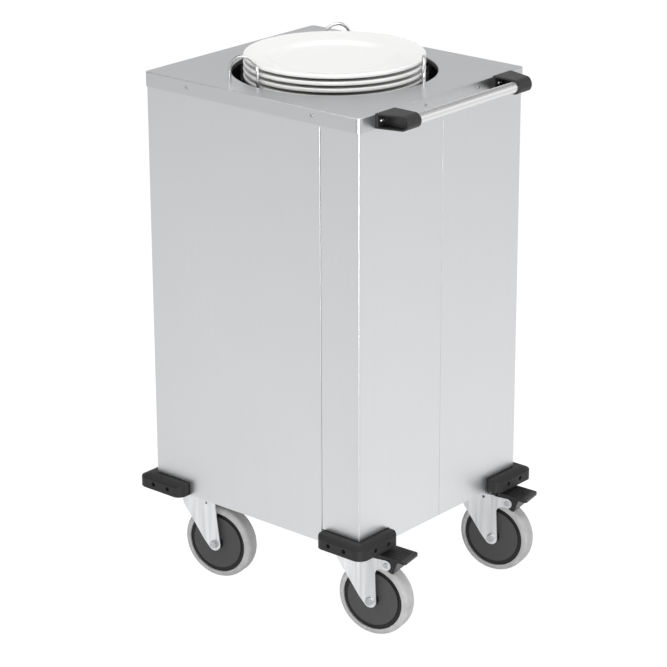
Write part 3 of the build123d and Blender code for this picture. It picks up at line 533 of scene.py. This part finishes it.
def islands(nodeName):
    # lowest and highest corner of each separate solid in a node
    mesh = bmesh.new()
    mesh.from_mesh(frame["nodes"][nodeName].data)
    bmesh.ops.remove_doubles(mesh, verts=mesh.verts, dist=mergeDistance)
    waiting = set(mesh.verts)
    found = []
    while waiting:
        stack = [waiting.pop()]
        low, high = stack[0].co.copy(), stack[0].co.copy()
        while stack:
            vert = stack.pop()
            low = Vector(map(min, low, vert.co))
            high = Vector(map(max, high, vert.co))
            for edge in vert.link_edges:
                other = edge.other_vert(vert)
                if other in waiting:
                    waiting.remove(other)
                    stack.append(other)
        found.append((low, high))
    mesh.free()
    return sorted(found, key=lambda pair: (round(pair[0].x, 4), round(pair[0].y, 4)))


class Growth:
    # a Geometry Nodes tree with named inputs

    def __init__(self, name, inputs):
        self.tree = bpy.data.node_groups.new(name, "GeometryNodeTree")
        self.tree.is_modifier = True
        self.tree.interface.new_socket("Geometry", in_out="INPUT", socket_type="NodeSocketGeometry")
        for label, kind in inputs.items():
            self.tree.interface.new_socket(label, in_out="INPUT", socket_type="NodeSocket" + kind)
        self.tree.interface.new_socket("Geometry", in_out="OUTPUT", socket_type="NodeSocketGeometry")
        self.given = self.tree.nodes.new("NodeGroupInput").outputs
        self.result = self.tree.nodes.new("NodeGroupOutput").inputs[0]

    def node(self, kind, sockets=None, output=0, **settings):
        made = self.tree.nodes.new(kind)
        for key, value in settings.items():
            setattr(made, key, value)
        for key, value in (sockets or {}).items():
            if isinstance(value, bpy.types.NodeSocket):
                self.tree.links.new(value, made.inputs[key])
            else:
                made.inputs[key].default_value = value
        return made.outputs[output]

    def finish(self, geometry):
        real = self.node("GeometryNodeRealizeInstances", {"Geometry": geometry})
        painted = self.node("GeometryNodeSetMaterial", {"Geometry": real, "Material": self.given["Finish"]})
        self.tree.links.new(painted, self.result)

    def grow(self, name, carrier, values):
        # runs the tree on a carrier mesh and returns the result as a plain mesh object
        holder = bpy.data.objects.new(name + "_seed", carrier)
        bpy.context.scene.collection.objects.link(holder)
        modifier = holder.modifiers.new("growth", "NODES")
        modifier.node_group = self.tree
        for item in self.tree.interface.items_tree:
            if item.in_out == "INPUT" and item.name in values:
                modifier[item.identifier] = values[item.name]
        evaluated = holder.evaluated_get(bpy.context.evaluated_depsgraph_get())
        mesh = bpy.data.meshes.new_from_object(evaluated)
        mesh.name = name
        bpy.data.objects.remove(holder)
        piece = bpy.data.objects.new(name, mesh)
        bpy.context.scene.collection.objects.link(piece)
        return piece


def pointMesh(name, places, turns=None):
    # loose points, with the turn of each kept as an attribute
    mesh = bpy.data.meshes.new(name)
    mesh.from_pydata([tuple(place) for place in places], [], [])
    if turns:
        kept = mesh.attributes.new("turn", "FLOAT_VECTOR", "POINT")
        for item, turn in zip(kept.data, turns):
            item.vector = turn
    return mesh


def shadeByAngle(piece, sharp):
    mesh = bmesh.new()
    mesh.from_mesh(piece.data)
    for face in mesh.faces:
        face.smooth = True
    for edge in mesh.edges:
        edge.smooth = edge.calc_face_angle(0) < math.radians(sharp)
    mesh.to_mesh(piece.data)
    mesh.free()


screws = {
    "cover_screws": {"radius": 0.0036, "height": 0.0016},
    "handle_screws": {"radius": 0.005, "height": 0.0035},
    "bumper_screws": {"radius": 0.0038, "height": 0.0025},
}
# shape of every head: the recess as shares of its radius and height, and the turn from one screw to the next
screwHead = {"long": 0.9, "wide": 0.17, "deep": 0.5, "twist": 0.7, "segments": 28, "rings": 14, "sharp": 32}


def screwPlaces(nodeName, radius, height):
    # the seat of each head and the turn that points it outwards
    places, turns = [], []
    for index, (low, high) in enumerate(islands(nodeName)):
        span = high - low
        axis = max(range(3), key=lambda side: abs(span[side] - 2 * radius))
        seat = (low + high) / 2
        outward = Vector((0, 0, 0))
        outward[axis] = 1 if seat[axis] > (bodyX, 0, 0)[axis] else -1
        seat[axis] = (high if outward[axis] > 0 else low)[axis] - outward[axis] * height
        places.append(seat)
        twist = Matrix.Rotation(screwHead["twist"] * index, 3, "Z")
        turn = outward.to_track_quat("Z", "Y").to_matrix() @ twist
        turns.append(turn.to_euler())
    return places, turns


def addScrews():
    growth = Growth("crossHead", {
        "Radius": "Float", "Height": "Float", "Long": "Float", "Wide": "Float", "Deep": "Float",
        "Finish": "Material",
    })
    given = growth.given
    ball = growth.node("GeometryNodeMeshUVSphere", {
        "Segments": screwHead["segments"], "Rings": screwHead["rings"], "Radius": 1.0,
    })
    squash = growth.node("ShaderNodeCombineXYZ", {0: given["Radius"], 1: given["Radius"], 2: given["Height"]})
    head = growth.node("GeometryNodeTransform", {"Geometry": ball, "Scale": squash})
    above = growth.node("ShaderNodeCombineXYZ", {2: given["Height"]})
    arms = growth.node("GeometryNodeJoinGeometry")
    for first, second in (("Long", "Wide"), ("Wide", "Long")):
        size = growth.node("ShaderNodeCombineXYZ", {0: given[first], 1: given[second], 2: given["Deep"]})
        arm = growth.node("GeometryNodeMeshCube", {"Size": size})
        raised = growth.node("GeometryNodeTransform", {"Geometry": arm, "Translation": above})
        growth.tree.links.new(raised, arms.node.inputs[0])
    # the two arms cross each other, which the exact solver has to be told
    cut = growth.node(
        "GeometryNodeMeshBoolean", {0: head, 1: arms, "Self Intersection": True},
        operation="DIFFERENCE", solver="EXACT",
    )
    kept = growth.node("GeometryNodeInputNamedAttribute", {"Name": "turn"}, data_type="FLOAT_VECTOR")
    turn = growth.node("FunctionNodeEulerToRotation", {0: kept})
    growth.finish(growth.node(
        "GeometryNodeInstanceOnPoints", {"Points": given["Geometry"], "Instance": cut, "Rotation": turn},
    ))
    for nodeName, size in screws.items():
        places, turns = screwPlaces(nodeName, size["radius"], size["height"])
        piece = growth.grow(nodeName + "_heads", pointMesh(nodeName + "Seats", places, turns), {
            "Radius": size["radius"], "Height": size["height"], "Long": size["radius"] * screwHead["long"],
            "Wide": size["radius"] * screwHead["wide"], "Deep": size["height"] * screwHead["deep"],
            "Finish": finishes["screw_steel"],
        })
        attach(piece, bodyOf[nodeName])
        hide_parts(nodeName)
        shadeByAngle(piece, screwHead["sharp"])


addScrews()
print("screw heads cut")

springs = {"wire": 0.0007, "coil": 0.0058, "turns": 60, "stepsPerTurn": 14, "stepsRoundWire": 6}


def addSprings():
    growth = Growth("springCoil", {
        "Coil": "Float", "Wire": "Float", "Turns": "Float", "Height": "Float", "Finish": "Material",
    })
    given = growth.given
    helix = growth.node("GeometryNodeCurveSpiral", {
        "Resolution": springs["stepsPerTurn"], "Rotations": given["Turns"], "Start Radius": given["Coil"],
        "End Radius": given["Coil"], "Height": given["Height"],
    })
    ring = growth.node("GeometryNodeCurvePrimitiveCircle", {
        "Resolution": springs["stepsRoundWire"], "Radius": given["Wire"],
    })
    coil = growth.node("GeometryNodeCurveToMesh", {"Curve": helix, "Profile Curve": ring, "Fill Caps": True})
    stood = growth.node("GeometryNodeInstanceOnPoints", {"Points": given["Geometry"], "Instance": coil})
    growth.finish(stood)
    solids = islands("carrier_springs")
    feet = [((low.x + high.x) / 2, (low.y + high.y) / 2, low.z) for low, high in solids]
    length = solids[0][1].z - solids[0][0].z
    piece = growth.grow("carrierCoils", pointMesh("springFeet", feet), {
        "Coil": springs["coil"], "Wire": springs["wire"], "Turns": springs["turns"],
        "Height": length, "Finish": finishes["spring_steel"],
    })
    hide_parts("carrier_springs")
    for face in piece.data.polygons:
        face.use_smooth = True
    return piece, feet[0][2], length


# the coils are wound at the feet of the imported springs and left in place
coils, springFoot, springLength = addSprings()
springFoot + springLength
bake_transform(coils)
print("springs wound")

# angles in degrees, lens and sensor in millimetres, place in metres from the middle of the cover's top
view = {
    "azimuth": 40.579, "pitch": 20.05, "roll": -0.211, "lens": 143.48, "sensor": 36, "farthest": 50,
    "fromCoverTop": (2.93538, -3.43288, 1.15674),
}


def addCamera():
    azimuth = math.radians(view["azimuth"])
    pitch = math.radians(view["pitch"])
    ahead = Vector((
        -math.sin(azimuth) * math.cos(pitch), math.cos(azimuth) * math.cos(pitch), -math.sin(pitch),
    ))
    right = Vector((math.cos(azimuth), math.sin(azimuth), 0))
    up = right.cross(ahead)
    turn = Matrix((right, up, -ahead)).transposed().to_4x4()
    place = Matrix.Translation(Vector((bodyX, 0, coverTop)) + Vector(view["fromCoverTop"]))
    data = bpy.data.cameras.new("camera")
    data.lens = view["lens"]
    data.sensor_width = view["sensor"]
    data.clip_end = view["farthest"]
    camera = bpy.data.objects.new("camera", data)
    camera.matrix_world = place @ turn @ Matrix.Rotation(math.radians(view["roll"]), 4, "Z")
    bpy.context.scene.collection.objects.link(camera)
    bpy.context.scene.camera = camera


addCamera()

floorGlow = {
    "half": 30, "tone": 0.86, "roughness": 0.9,
    # share of the floor's own glow where it is seen straight or in a mirror image, and how bright it is
    "seen": 0.86, "mirrored": 0.85, "level": 1.12,
    # a painted reflection, a glow seen only in mirror images that lays a bright highlight on the near corner's
    # bend and dark bands beside it: its peak, and how it fades with the distance from the near corner in metres
    "peak": 2.0, "near": 1.12, "fade": 0.06, "mostFade": 0.3,
    # share of that peak by direction from the corner of the handle side and the left side, in degrees
    # from -Y through +X
    "shades": (
        (0, 0.26), (20, 0.24), (34, 0.9), (50, 0.9), (64, 0.24), (100, 0.32), (132, 0.53), (168, 0.52),
        (195, 0.30), (240, 0.42), (284, 0.43), (322, 0.52), (342, 0.32), (360, 0.26),
    ),
}


def addFloor():
    mesh = bpy.data.meshes.new("floor")
    half = floorGlow["half"]
    mesh.from_pydata([(-half, -half, 0), (half, -half, 0), (half, half, 0), (-half, half, 0)], [], [(0, 1, 2, 3)])
    floor = bpy.data.objects.new("floor", mesh)
    bpy.context.scene.collection.objects.link(floor)
    stage = Finish("studioFloor")
    stage.feed(Base_Color=grey(floorGlow["tone"]), Roughness=floorGlow["roughness"], Specular_IOR_Level=0.0)
    here = stage.node("ShaderNodeTexCoord", output="Object")
    corner = (panelHigh.x, -panelHigh.y, 0)
    away = stage.node("ShaderNodeVectorMath", {"operation": "SUBTRACT"}, {0: here, 1: corner})
    spread = stage.node("ShaderNodeVectorMath", {"operation": "LENGTH"}, {0: away}, output=1)
    fade = floorGlow["near"] - (spread * floorGlow["fade"]).math("MINIMUM", floorGlow["mostFade"])
    # painted reflection: the floor's glow in mirror images is bright or dark by direction from the near corner
    mirrored = stage.round(away, floorGlow["shades"]) * floorGlow["peak"] * fade
    seen = stage.node("ShaderNodeLightPath", output="Is Camera Ray")
    glossy = stage.node("ShaderNodeLightPath", output="Is Glossy Ray")
    through = stage.node("ShaderNodeLightPath", output="Is Transmission Ray")
    tint = stage.mix(glossy, grey(floorGlow["level"]), mirrored)
    glow = stage.node("ShaderNodeEmission", None, {"Color": tint})
    plain = Wire(stage.tree, stage.shader.outputs[0])
    direct = (seen * floorGlow["seen"] + glossy * floorGlow["mirrored"] + through * floorGlow["seen"]).limit()
    blend = stage.node("ShaderNodeMixShader", None, {0: direct, 1: plain, 2: glow})
    stage.tree.links.new(blend.socket, stage.tree.nodes["Material Output"].inputs[0])
    mesh.materials.append(stage.material)


addFloor()

studio = {
    "strength": 1.2,
    # brightness by height above the horizon, as the sine of the elevation
    "heights": ((0.0, 0.95), (0.22, 0.92), (0.40, 0.90), (0.56, 0.42), (0.75, 0.26), (1.0, 0.42)),
    # share of it by direction round the cart, in degrees from -Y through +X
    "shades": (
        (0, 0.46), (25, 0.32), (60, 0.36), (95, 0.53), (138, 0.95), (172, 0.95), (195, 0.68), (245, 0.70),
        (272, 0.36), (300, 0.25), (330, 0.43), (360, 0.46),
    ),
}


def addWorld():
    world = bpy.data.worlds.new("studio")
    bpy.context.scene.world = world
    world.use_nodes = True
    tree = world.node_tree
    tree.nodes.clear()
    sky = Shading(tree)
    here = sky.node("ShaderNodeTexCoord", output="Generated")
    height = sky.node("ShaderNodeSeparateXYZ", None, {0: here}, output=2)
    byHeight = sky.node("ShaderNodeValToRGB", {"stops": list(studio["heights"])}, {0: height.limit()})
    shade = byHeight * sky.round(here, studio["shades"])
    light = sky.node("ShaderNodeBackground", None, {"Color": shade, "Strength": studio["strength"]})
    white = sky.node("ShaderNodeBackground", None, {"Color": grey(1)})
    seen = sky.node("ShaderNodeLightPath", output="Is Camera Ray")
    blend = sky.node("ShaderNodeMixShader", None, {0: seen, 1: light, 2: white})
    tree.links.new(blend.socket, tree.nodes.new("ShaderNodeOutputWorld").inputs[0])


addWorld()

# place, width and height in metres, and power in watts; all of them point at one spot in the body
lampAim = (0, 0, 0.5)
lamps = {
    "keyLamp": ((-1.6, -3.2, 2.8), (1.8, 1.8), 36),
    "fillLamp": ((3.4, 0.6, 1.8), (1.6, 2.2), 22),
    "topLamp": ((0.1, 0.0, 3.0), (3.2, 3.2), 46),
    "frontLamp": ((2.5, -2.9, 1.1), (1.6, 1.2), 60),
    "edgeLamp": ((1.75, -2.0, 0.35), (0.25, 0.6), 9),
}


def addLamp(name, place, size, power):
    data = bpy.data.lights.new(name, "AREA")
    data.shape = "RECTANGLE"
    data.size, data.size_y = size
    data.energy = power
    lamp = bpy.data.objects.new(name, data)
    lamp.visible_camera = False
    away = Vector(place) - Vector(lampAim)
    lamp.matrix_world = Matrix.Translation(Vector(place)) @ away.to_track_quat("Z", "Y").to_matrix().to_4x4()
    bpy.context.scene.collection.objects.link(lamp)


for name, settings in lamps.items():
    addLamp(name, *settings)
bpy.context.scene.view_settings.view_transform = "Standard"
print("stage, lamps and camera placed")
